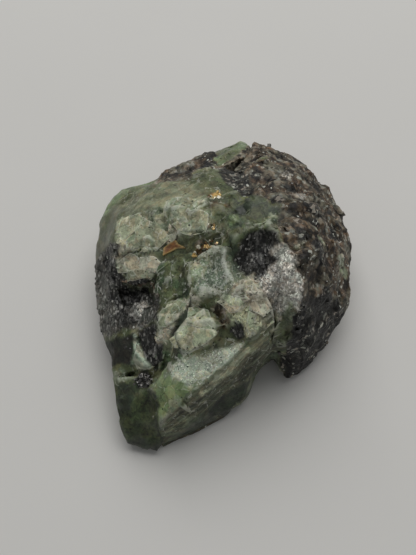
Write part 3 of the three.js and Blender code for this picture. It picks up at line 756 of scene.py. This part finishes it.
class Nodes:
    """Short calls that add shader nodes to one material."""

    def __init__(self, name):
        self.material = bpy.data.materials.new(name)
        self.material.use_nodes = True
        self.tree = self.material.node_tree
        self.shader = self.tree.nodes["Principled BSDF"]

    def add(self, kind, settings=None, **inputs):
        node = self.tree.nodes.new(kind)
        for key, value in (settings or {}).items():
            setattr(node, key, value)
        for key, value in inputs.items():
            self.feed(node.inputs[key.replace("_", " ")], value)
        return node

    def feed(self, socket, value):
        if isinstance(value, bpy.types.NodeSocket):
            self.tree.links.new(value, socket)
        else:
            socket.default_value = value

    def fed(self, node, *values):
        """Feeds the first inputs of a node in turn, and gives its first output."""
        for socket, value in zip(node.inputs, values):
            self.feed(socket, value)
        return node.outputs[0]

    def math(self, operation, *values):
        return self.fed(self.add("ShaderNodeMath", {"operation": operation}), *values)

    def times(self, a, b):
        return self.math("MULTIPLY", a, b)

    def times_add(self, a, b, c):
        return self.math("MULTIPLY_ADD", a, b, c)

    def vector(self, operation, *values):
        return self.fed(self.add("ShaderNodeVectorMath", {"operation": operation}), *values)

    def scaled(self, vector, scale):
        return self.fed(self.add("ShaderNodeVectorMath", {"operation": "SCALE"}, Scale=scale), vector)

    def centred(self, vector):
        return self.vector("SUBTRACT", vector, (0.5, 0.5, 0.5))

    def mix(self, factor, a, b, blend="MIX"):
        node = self.add("ShaderNodeMix", {"data_type": "RGBA", "blend_type": blend})
        for index, value in ((0, factor), (6, a), (7, b)):
            self.feed(node.inputs[index], value)
        return node.outputs[2]

    def filtered(self, a, b):
        return self.mix(1.0, a, b, "MULTIPLY")

    def ramp(self, value, low, high, start=0.0, end=1.0):
        node = self.add("ShaderNodeMapRange", {"interpolation_type": "SMOOTHSTEP"})
        return self.fed(node, value, low, high, start, end)

    def share(self, name):
        return self.add("ShaderNodeAttribute", {"attribute_name": name}).outputs["Fac"]

    def tint(self):
        return self.add("ShaderNodeAttribute", {"attribute_name": "tint"}).outputs["Color"]

    def place(self):
        """The place in mm."""
        return self.scaled(self.add("ShaderNodeTexCoord").outputs["Object"], 1 / MM)

    def noise(self, place, size, detail=2.0, output="Fac"):
        node = self.add("ShaderNodeTexNoise", Vector=place, Scale=1 / size, Detail=detail)
        return node.outputs[output]

    def cells(self, place, size):
        """A random colour in each cell."""
        return self.add("ShaderNodeTexVoronoi", Vector=place, Scale=1 / size).outputs["Color"]

    def chance(self, cells, channel):
        """A random value from 0 to 1 for each cell."""
        return self.add("ShaderNodeSeparateColor", Color=cells).outputs[channel]

    def glinting(self, cells, strength, normal):
        """The surface direction, turned a little and differently in each cell, so that single faces flash."""
        turn = self.scaled(self.centred(cells), strength)
        return self.vector("NORMALIZE", self.vector("ADD", normal, turn))

    def finish(self, **inputs):
        for key, value in inputs.items():
            self.feed(self.shader.inputs[key.replace("_", " ")], value)
        return self.material


def garnet_level(n, place, bent, grain):
    """Lightness of the garnet: clouds, blotches and dust."""
    blotch = n.times_add(n.chance(n.cells(bent, 1.5), 0), 0.45, -0.22)
    dust = n.times_add(n.chance(n.cells(bent, 0.38), 1), 0.7, -0.35)
    cloud = n.ramp(n.noise(place, 2.6, 6.0), 0.3, 0.7, 0.7, 1.3)
    return n.times_add(n.math("ADD", blotch, dust), grain, cloud)


def gneiss_level(n, place, bent):
    """Lightness of the gneiss: mostly dark grains and a few pale ones."""
    grain = n.chance(n.cells(place, 0.62), 1)
    clump = n.chance(n.cells(bent, 1.9), 0)
    cloud = n.ramp(n.noise(place, 2.2, 5.0), 0.38, 0.6, 0.15, 1.45)
    level = n.times_add(n.math("POWER", grain, 7.0), 1.7, n.times_add(grain, 0.8, 0.3))
    return n.times(level, n.times(cloud, n.times_add(clump, 0.8, 0.6)))


def streak_level(n, place, streak):
    """Lightness of the fine streaks that run along the straight edge."""
    dot = n.add("ShaderNodeVectorMath", {"operation": "DOT_PRODUCT"})
    n.fed(dot, place, tuple(EDGE_WAY * STREAK_REACH))
    across = n.vector("SUBTRACT", place, n.scaled(tuple(EDGE_WAY), dot.outputs["Value"]))
    lines = n.ramp(n.noise(across, 0.55, 4.0), 0.35, 0.65, 0.6, 1.4)
    return n.times_add(n.math("SUBTRACT", lines, 1.0), streak, 1.0)


def painted_graphite_shine(n, place, metal):
    """Painted sheen of the graphite: short crossing strokes added to its colour as light, and more of them
    bright as metal grows.
    """
    drawn = []
    for turn in ((0.3, 0.2, 0.9), (0.9, 0.4, 2.2)):
        along = n.add("ShaderNodeMapping", Vector=place, Rotation=turn, Scale=(1.0, 0.5, 0.65)).outputs[0]
        drawn.append(n.chance(n.cells(along, 0.33), 0))
    cluster = n.ramp(n.noise(place, 1.6, 5.0), 0.35, 0.65, 0.4, 1.5)
    steepness = n.times_add(metal, -11.0, 14.0)
    strokes = n.math("POWER", n.math("MAXIMUM", *drawn), steepness)
    return n.times(n.times(strokes, cluster), n.times_add(metal, 0.85, 0.25))


def fracture(n, bent):
    """1 on thin broken lines and 0 off them."""
    edges = n.add("ShaderNodeTexVoronoi", {"feature": "DISTANCE_TO_EDGE"}, Vector=bent, Scale=1 / 2.4)
    return n.ramp(edges.outputs["Distance"], 0.0, 0.06, 1.0, 0.0)


def stone_colour(n, place, bent, gneiss, graphite):
    """The tint of each mineral, in grains and clouds, with painted shade in its creases and a painted sheen
    on the graphite.
    """
    garnet = garnet_level(n, place, bent, n.share("grain"))
    garnet = n.times(garnet, streak_level(n, place, n.share("streak")))
    level = n.mix(gneiss, garnet, gneiss_level(n, place, bent))
    pale_grain = n.times(gneiss, n.ramp(level, 1.0, 2.4))
    base = n.filtered(n.mix(pale_grain, n.tint(), (0.105, 0.10, 0.09, 1.0)), level)
    warm = n.filtered(base, (1.08, 0.99, 0.90, 1.0))
    cool = n.filtered(base, (0.93, 1.0, 0.95, 1.0))
    base = n.mix(n.ramp(n.chance(n.cells(bent, 1.1), 2), 0.3, 0.8), cool, warm)
    # Painted sheen: the graphite strokes are added to the colour as a pale grey.
    painted_shine = n.times(painted_graphite_shine(n, place, n.share("metal")), graphite)
    base = n.mix(1.0, base, n.filtered((0.50, 0.49, 0.455, 1.0), painted_shine), "ADD")
    # Painted shade: where the surface is hollow the colour falls to half on the garnet and to a quarter on
    # the gneiss.
    painted_crease_shade = n.times_add(gneiss, -0.25, 0.5)
    return n.filtered(base, n.ramp(n.share("ridge"), -0.9, -0.1, painted_crease_shade, 1.0))


def painted_glint_mask(n, place, tiny, frost):
    """1 on the painted glint spots: sugar on the frosted faces, and mica in the gneiss and the graphite."""
    sugar = n.times(n.ramp(n.chance(tiny, 0), 0.70, 0.8), n.ramp(frost, 0.75, 0.95))
    mica_spots = n.ramp(n.chance(n.cells(place, 0.42), 1), 0.88, 0.90)
    mica_zone = n.ramp(n.noise(place, 2.6, 3.0), 0.60, 0.66)
    in_rock = n.ramp(n.math("ADD", n.share("lumps"), n.share("metal")), 0.2, 0.6)
    return n.math("MAXIMUM", sugar, n.times(n.times(mica_spots, mica_zone), in_rock))


def marked(n, base, place, bent, gneiss, frost, painted_glints):
    """The colour with its painted glint spots, crushed ridges, pale and dark broken lines and dark specks."""
    side = n.noise(place, 1.2)
    lines = n.times(fracture(n, bent), n.math("SUBTRACT", 1.0, gneiss))
    pale_line = n.times(n.times(lines, n.ramp(side, 0.48, 0.6)), n.ramp(frost, 0.0, 0.5))
    crushed = n.times(n.ramp(n.share("ridge"), 0.2, 0.9), frost)
    pale = n.times(n.math("MAXIMUM", pale_line, crushed), 0.8)
    # The crushed ridges and pale lines are the stone's own; the glint spots are painted highlights in the
    # colour.
    base = n.mix(n.times(n.math("MAXIMUM", pale, painted_glints), 0.8), base, (0.80, 0.82, 0.73, 1.0))
    dark_line = n.times(lines, n.ramp(side, 0.5, 0.4))
    base = n.mix(n.times(dark_line, 0.45), base, (0.02, 0.028, 0.016, 1.0))
    speck = n.times(n.ramp(n.noise(place, 0.5, 1.0), 0.70, 0.74), n.ramp(frost, 0.0, 0.3))
    return n.mix(speck, base, (0.012, 0.014, 0.01, 1.0))


def broken_normal(n, place, bent):
    """The surface direction with fine bumps and small broken faces."""
    bump = n.add("ShaderNodeBump", Strength=0.35, Distance=0.0002, Height=n.noise(place, 0.4, 3.0))
    facet = n.scaled(n.centred(n.cells(bent, 2.6)), n.times(n.share("facets"), 0.5))
    chip = n.scaled(n.centred(n.cells(bent, 0.8)), 0.12)
    return n.vector("NORMALIZE", n.vector("ADD", bump.outputs[0], n.vector("ADD", facet, chip)))


def skin_material():
    """Garnet, graphite and gneiss in one node tree, led by the shares that the skin carries."""
    n = Nodes(SKIN_MATERIAL)
    place = n.place()
    warp = n.centred(n.noise(place, 1.4, 3.0, "Color"))
    bent = n.vector("ADD", place, n.scaled(warp, 1.6))
    tiny = n.cells(place, 0.3)
    frost, metal, glass = (n.share(name) for name in ("frost", "metal", "glass"))
    gneiss = n.ramp(n.share("lumps"), 0.45, 0.8)
    graphite = n.ramp(metal, 0.2, 0.3)
    base = stone_colour(n, place, bent, gneiss, graphite)
    painted_glints = painted_glint_mask(n, place, tiny, frost)
    flash = n.times_add(frost, 0.3, n.times_add(metal, 0.7, n.times_add(gneiss, 0.2, 0.12)))
    # The glint spots are also made smoother, besides their painted lightness.
    smooth = n.math("MAXIMUM", glass, n.math("MAXIMUM", painted_glints, metal))
    return n.finish(
        Base_Color=marked(n, base, place, bent, gneiss, frost, painted_glints),
        Roughness=n.times_add(smooth, -0.35, 0.6), Metallic=n.times(metal, 0.15), IOR=1.6,
        Specular_IOR_Level=0.33, Coat_Weight=n.times(glass, 0.3), Coat_Roughness=0.15,
        Normal=n.glinting(tiny, flash, broken_normal(n, place, bent)),
        Subsurface_Weight=n.times_add(n.math("MAXIMUM", gneiss, graphite), -0.2, 0.2),
        Subsurface_Radius=(1.0, 1.3, 0.9), Subsurface_Scale=CLOUDY_DEPTH * MM,
    )


def grain_material(name, rough, flash, coat, metal=0.0):
    """A small grain: its own tint, slightly clouded, with flat faces that flash."""
    n = Nodes(name)
    place = n.place()
    base = n.filtered(n.tint(), n.ramp(n.noise(place, 0.5), 0.3, 0.7, 0.7, 1.3))
    bump = n.add("ShaderNodeBump", Strength=0.3, Distance=0.0001, Height=n.noise(place, 0.2))
    normal = n.glinting(n.cells(place, 0.25), flash, bump.outputs[0])
    return n.finish(
        Base_Color=base, Roughness=rough, Metallic=metal, Normal=normal, IOR=1.6, Coat_Weight=coat,
        Coat_Roughness=0.1,
    )


def floor_material(colour_value):
    n = Nodes("pale_paper")
    mottle = n.ramp(n.noise(n.place(), 40.0), 0.2, 0.8, 0.985, 1.0)
    return n.finish(Base_Color=n.filtered((*colour_value, 1.0), mottle), Roughness=0.85)


# ---- Operators, one for each piece


class STONE_OT_skin(bpy.types.Operator):
    """Makes the fine broken surface of the stone"""

    bl_idname = "stone.skin"
    bl_label = "Stone Skin"

    def execute(self, context):
        noise.seed_set(NOISE_SEED)
        sizes = context.scene.stone_sizes
        mesh = refined(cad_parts[NODE].data, sizes.mesh_step)
        points = read_points(mesh)
        fill_pits(mesh, points, sizes.fill)
        places = points / MM
        out = smoothed(mesh, read_normals(mesh), 4)
        out /= np.linalg.norm(out, axis=1)[:, None]
        turned = places + 0.5 * wander(places, size=2.0, seed=9.0)
        cells = {name: Domains(turned, getattr(sizes, name) / MM, seed) for name, seed in CELL_SEEDS.items()}
        tint, shares = survey(places, out, cells["plate"])
        points += shares["calm"][:, None] * (smoothed(mesh, points, WORN_ROUNDS) - points)
        points = points + out * relief(places, out, shares, cells)[:, None] * MM
        points[:, 2] = np.maximum(points[:, 2], 0.0)
        write_points(mesh, points)
        rise = ((points - smoothed(mesh, points, RIDGE_ROUNDS)) * out).sum(axis=1)
        write_finish(mesh, tint, np.clip(rise / (RIDGE_HEIGHT * MM), -1.0, 1.0), shares)
        mesh.polygons.foreach_set("use_smooth", np.ones(len(mesh.polygons), bool))
        mesh.set_sharp_from_angle(angle=CREASE)
        skin = piece_object(mesh, skin_material())
        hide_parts(NODE)
        return {"FINISHED"}


def broken_rim(rng, outline):
    """The outline with a few uneven points along each side."""
    rim = []
    for start, end in zip(outline, outline[1:] + outline[:1]):
        for part in range(3):
            place = Vector(start).lerp(Vector(end), part / 3)
            rim.append(place + Vector((rng.uniform(-0.14, 0.14), rng.uniform(-0.14, 0.14))))
    return rim


def add_plate(bm, rng, outline):
    """Adds a flat plate that lies on the skin, with its edge bevelled a little, and returns its upper rim."""
    plan = np.array([(*p, 1.0) for p in broken_rim(rng, outline)])
    heights = np.array([skin_height(x, y) for x, y, _ in plan])
    slope = np.linalg.lstsq(plan, heights, rcond=None)[0]
    level = plan @ slope + np.percentile(heights - plan @ slope, PLATE_LEVEL) + rng.uniform(0.05, 0.2)
    face = bm.faces.new([bm.verts.new(Vector((x, y, z)) * MM) for (x, y, _), z in zip(plan, level)])
    face.normal_update()
    if face.normal.z < 0:
        face.normal_flip()
    down = -face.normal.copy()
    bmesh.ops.inset_region(
        bm, faces=[face], use_boundary=True, thickness=PLATE_RIM * MM, depth=PLATE_BEVEL * MM
    )
    edges = [e for e in bm.edges if e.is_boundary]
    rim = {v for e in edges for v in e.verts}
    walls = bmesh.ops.extrude_edge_only(bm, edges=edges)["geom"]
    lower = [v for v in walls if isinstance(v, bmesh.types.BMVert)]
    bmesh.ops.translate(bm, verts=lower, vec=down * PLATE_THICKNESS * MM)
    open_edges = [e for e in walls if isinstance(e, bmesh.types.BMEdge) and e.is_boundary]
    bmesh.ops.holes_fill(bm, edges=open_edges)
    return rim


class STONE_OT_broken_plates(bpy.types.Operator):
    """Lays the flat broken plates on the garnet"""

    bl_idname = "stone.broken_plates"
    bl_label = "Broken Plates"

    def execute(self, context):
        colours = context.scene.stone_colours
        rng = random.Random(71)
        bm = bmesh.new()
        tints, ridge, shares = [], [], []
        for name, outline in PLATES:
            finish = FINISHES[name]
            rim = add_plate(bm, rng, outline)
            added = list(bm.verts)[len(tints):]
            first, second = (Vector(getattr(colours, name)) for name in (finish.colour, finish.other))
            tint = first.lerp(second, rng.uniform(0, 0.5))
            tints += [tint * rng.uniform(0.8, 1.02)] * len(added)
            ridge += [CRUSHED if vertex in rim else 0.0 for vertex in added]
            shares += [finish[2:]] * len(added)
        bmesh.ops.triangulate(bm, faces=bm.faces)
        bmesh.ops.recalc_face_normals(bm, faces=bm.faces)
        mesh = finished_mesh(bm, "broken_plates")
        write_finish(mesh, np.array(tints), ridge, dict(zip(SHARES, np.array(shares).T)))
        piece_object(mesh, bpy.data.materials[SKIN_MATERIAL])
        return {"FINISHED"}


class STONE_OT_garnet_shards(bpy.types.Operator):
    """Sets broken chips into the garnet"""

    bl_idname = "stone.garnet_shards"
    bl_label = "Garnet Shards"

    def execute(self, context):
        mesh = skin_mesh()
        on_garnet = 1.0 - np.minimum(read_share(mesh, "lumps"), 1.0)
        wanted = read_share(mesh, "rubble") * on_garnet * (read_points(mesh)[:, 2] > SHARD_FOOT * MM)
        scatter(
            "garnet_shards", 12, context.scene.stone_pieces.shards, wanted,
            chip_shapes(11, kinds=8, corners=11, scale=(1.0, 0.75, 0.45)),
            Lie(radius=(0.25, 0.75), sink=(0.15, 0.35), lean=0.5),
            lambda rng, tint: tint * rng.uniform(0.5, 1.3),
            grain_material("garnet_chip", rough=0.35, flash=0.25, coat=0.2),
        )
        return {"FINISHED"}


class STONE_OT_sugar_grains(bpy.types.Operator):
    """Sprinkles small glassy grains over the frosted faces"""

    bl_idname = "stone.sugar_grains"
    bl_label = "Sugar Grains"

    def execute(self, context):
        scatter(
            "sugar_grains", 22, context.scene.stone_pieces.sugar, share_over("frost", 0.8),
            chip_shapes(21, kinds=6, corners=9, scale=(1.0, 0.85, 0.5)),
            Lie(radius=(0.1, 0.26), sink=(0.0, 0.3), lean=0.8),
            lambda rng, tint: tint * rng.uniform(0.9, 1.9),
            grain_material("glassy_grain", rough=0.2, flash=0.3, coat=0.4),
        )
        return {"FINISHED"}


class STONE_OT_graphite_flakes(bpy.types.Operator):
    """Lays shining graphite flakes on the black parts, a little white painted into some of them as glint"""

    bl_idname = "stone.graphite_flakes"
    bl_label = "Graphite Flakes"

    def execute(self, context):
        white = Vector((1.0, 0.98, 0.94))
        scatter(
            "graphite_flakes", 32, context.scene.stone_pieces.flakes, share_over("metal", 0.1),
            flake_shapes(31, kinds=6, thickness=0.16),
            Lie(radius=(0.18, 0.45), sink=(0.0, 0.25), lean=0.5),
            # Some flakes get a little white in their tint as painted glint.
            lambda rng, tint: tint * rng.uniform(0.5, 1.1) + white * rng.random() ** 4 * 0.12,
            grain_material("graphite_flake", rough=0.3, flash=0.35, coat=0.2, metal=0.2),
        )
        return {"FINISHED"}


class STONE_OT_gneiss_grains(bpy.types.Operator):
    """Sets the pale and dark grains of the gneiss, and a few near-white grains as painted glint spots"""

    bl_idname = "stone.gneiss_grains"
    bl_label = "Gneiss Grains"

    def execute(self, context):
        pale = Vector(context.scene.stone_colours.cream)

        def tint_one(rng, tint):
            kind = rng.random()
            # A few grains are painted near white as glint spots.
            if kind < 0.012:
                return Vector((0.95, 0.95, 0.93))
            if kind < 0.07:
                return tint.lerp(pale, rng.uniform(0.1, 0.4))
            return tint * rng.uniform(0.2, 1.6)

        scatter(
            "gneiss_grains", 42, context.scene.stone_pieces.grains, share_over("lumps", 0.4),
            chip_shapes(41, kinds=8, corners=12, scale=(1.0, 0.85, 0.7)),
            Lie(radius=(0.25, 0.65), sink=(0.7, 1.0), lean=0.7),
            tint_one,
            grain_material("gneiss_grain", rough=0.4, flash=0.35, coat=0.2),
        )
        return {"FINISHED"}


class STONE_OT_gold_scales(bpy.types.Operator):
    """Lays the golden scales in the groove above the frosted face, and in two spots behind it"""

    bl_idname = "stone.gold_scales"
    bl_label = "Gold Scales"

    def execute(self, context):
        plan = skin_plan()
        outside = distance_outside(plan, GOLD_GROOVE)
        for x, y, reach in GOLD_SPOTS:
            outside = np.minimum(outside, np.linalg.norm(plan - (x, y), axis=1) - reach)
        colours = context.scene.stone_colours
        tones = [Vector(c) for c in (colours.gold, colours.gold, colours.cream, colours.rust, colours.dark)]
        scatter(
            "gold_scales", 52, context.scene.stone_pieces.scales, (outside < 0).astype(float),
            flake_shapes(51, kinds=5, thickness=0.4),
            Lie(radius=(0.2, 0.5), sink=(-0.3, 0.1), lean=0.8),
            lambda rng, tint: rng.choice(tones) * rng.uniform(0.8, 1.4),
            grain_material("gold_scale", rough=0.3, flash=0.2, coat=0.3, metal=0.2),
        )
        return {"FINISHED"}


class STONE_OT_bead_cluster(bpy.types.Operator):
    """Sets the small cluster beside the end of the bench, a few of its beads painted near white as glint"""

    bl_idname = "stone.bead_cluster"
    bl_label = "Bead Cluster"

    def execute(self, context):
        x, y, reach = BEAD_SPOT
        wanted = (np.linalg.norm(skin_plan() - (x, y), axis=1) < reach).astype(float)
        scatter(
            "bead_cluster", 62, context.scene.stone_pieces.beads, wanted,
            chip_shapes(61, kinds=5, corners=12, scale=(1.0, 0.9, 0.8)),
            Lie(radius=(0.25, 0.55), sink=(0.0, 0.3), lean=1.0),
            # Most beads are near black, and a few are painted near white as glint spots.
            lambda rng, tint: Vector((1.0, 0.96, 0.93)) * (0.02 + 0.98 * rng.random() ** 3),
            grain_material("bright_bead", rough=0.2, flash=0.4, coat=0.5, metal=0.3),
        )
        return {"FINISHED"}


class STONE_OT_rust_flake(bpy.types.Operator):
    """Leans the rusty three-cornered flake against the plates"""

    bl_idname = "stone.rust_flake"
    bl_label = "Rust Flake"

    def execute(self, context):
        bm = bmesh.new()
        rim = [bm.verts.new(Vector((x, y, skin_height(x, y) + 0.35)) * MM) for x, y in RUST_OUTLINE]
        hub = bm.verts.new(Vector((*RUST_MIDDLE, skin_height(*RUST_MIDDLE) + 0.1)) * MM)
        faces = [bm.faces.new((hub, a, b)) for a, b in zip(rim, rim[1:] + rim[:1])]
        bmesh.ops.recalc_face_normals(bm, faces=faces)
        bmesh.ops.solidify(bm, geom=faces, thickness=RUST_THICKNESS * MM)
        bmesh.ops.subdivide_edges(bm, edges=bm.edges, cuts=2, use_grid_fill=True)
        mesh = finished_mesh(bm, "rust_flake")
        from_rim = -distance_outside(read_points(mesh)[:, :2] / MM, RUST_OUTLINE)
        rim_share = (1.0 - smooth_step(from_rim, 0.03, 0.2))[:, None]
        amber, gold = (np.array(getattr(context.scene.stone_colours, name)) for name in ("amber", "gold"))
        write_tint(mesh, amber * (1 - rim_share) + gold * 0.7 * rim_share)
        piece_object(mesh, grain_material("rust_flake", rough=0.3, flash=0.15, coat=0.4))
        return {"FINISHED"}


class STONE_OT_stage(bpy.types.Operator):
    """Adds the floor, the soft lights and the camera"""

    bl_idname = "stone.stage"
    bl_label = "Stage"

    def execute(self, context):
        stage = context.scene.stone_stage
        bm = bmesh.new()
        bmesh.ops.create_grid(bm, x_segments=1, y_segments=1, size=1.5)
        floor = linked_object("floor", finished_mesh(bm, "floor"))
        floor.data.materials.append(floor_material(stage.floor_colour))

        key = bpy.data.lights.new("key", "AREA")
        key.energy = stage.key_power
        key.size = 0.8
        key.color = (1.0, 0.99, 0.97)
        lamp = linked_object("key", key)
        lamp.location = (0.03, 0.38, 0.65)
        lamp.rotation_euler = (-Vector(lamp.location)).to_track_quat("-Z", "Y").to_euler()

        world = bpy.data.worlds.new("even_light")
        context.scene.world = world
        world.use_nodes = True
        background = world.node_tree.nodes["Background"]
        background.inputs["Color"].default_value = (0.97, 0.99, 1.0, 1.0)
        background.inputs["Strength"].default_value = stage.sky

        camera = bpy.data.cameras.new("camera")
        camera.lens = stage.focal
        camera.clip_start = 0.005
        eye = linked_object("camera", camera)
        back = Vector((0.0, -cos(stage.elevation), sin(stage.elevation)))
        eye.location = LOOKED_AT * MM + back * stage.distance
        eye.rotation_euler = (-back).to_track_quat("-Z", "Y").to_euler()
        context.scene.camera = eye
        context.scene.view_settings.view_transform = "Standard"
        return {"FINISHED"}


class STONE_PT_panel(bpy.types.Panel):
    """Lists the steps and the settings in the sidebar"""

    bl_label = "Tsavorite Hand Specimen"
    bl_space_type = "VIEW_3D"
    bl_region_type = "UI"
    bl_category = "Specimen"

    def draw(self, context):
        for operator in OPERATORS:
            self.layout.operator(operator.bl_idname)
        for settings in (getattr(context.scene, name) for name in GROUPS):
            box = self.layout.box()
            for name in settings.__annotations__:
                box.prop(settings, name)


OPERATORS = (
    STONE_OT_skin,
    STONE_OT_broken_plates,
    STONE_OT_garnet_shards,
    STONE_OT_sugar_grains,
    STONE_OT_graphite_flakes,
    STONE_OT_gneiss_grains,
    STONE_OT_gold_scales,
    STONE_OT_bead_cluster,
    STONE_OT_rust_flake,
    STONE_OT_stage,
)
GROUPS = {
    "stone_sizes": StoneSizes,
    "stone_pieces": StonePieces,
    "stone_colours": StoneColours,
    "stone_stage": StageSettings,
}
CLASSES = (*GROUPS.values(), *OPERATORS, STONE_PT_panel)


def register():
    for cls in CLASSES:
        bpy.utils.register_class(cls)
    for name, group in GROUPS.items():
        setattr(bpy.types.Scene, name, PointerProperty(type=group))


def unregister():
    for name in GROUPS:
        delattr(bpy.types.Scene, name)
    for cls in reversed(CLASSES):
        bpy.utils.unregister_class(cls)


def main():
    register()
    for operator in OPERATORS:
        group, name = operator.bl_idname.split(".")
        getattr(getattr(bpy.ops, group), name)()


if __name__ == "__main__":
    main()
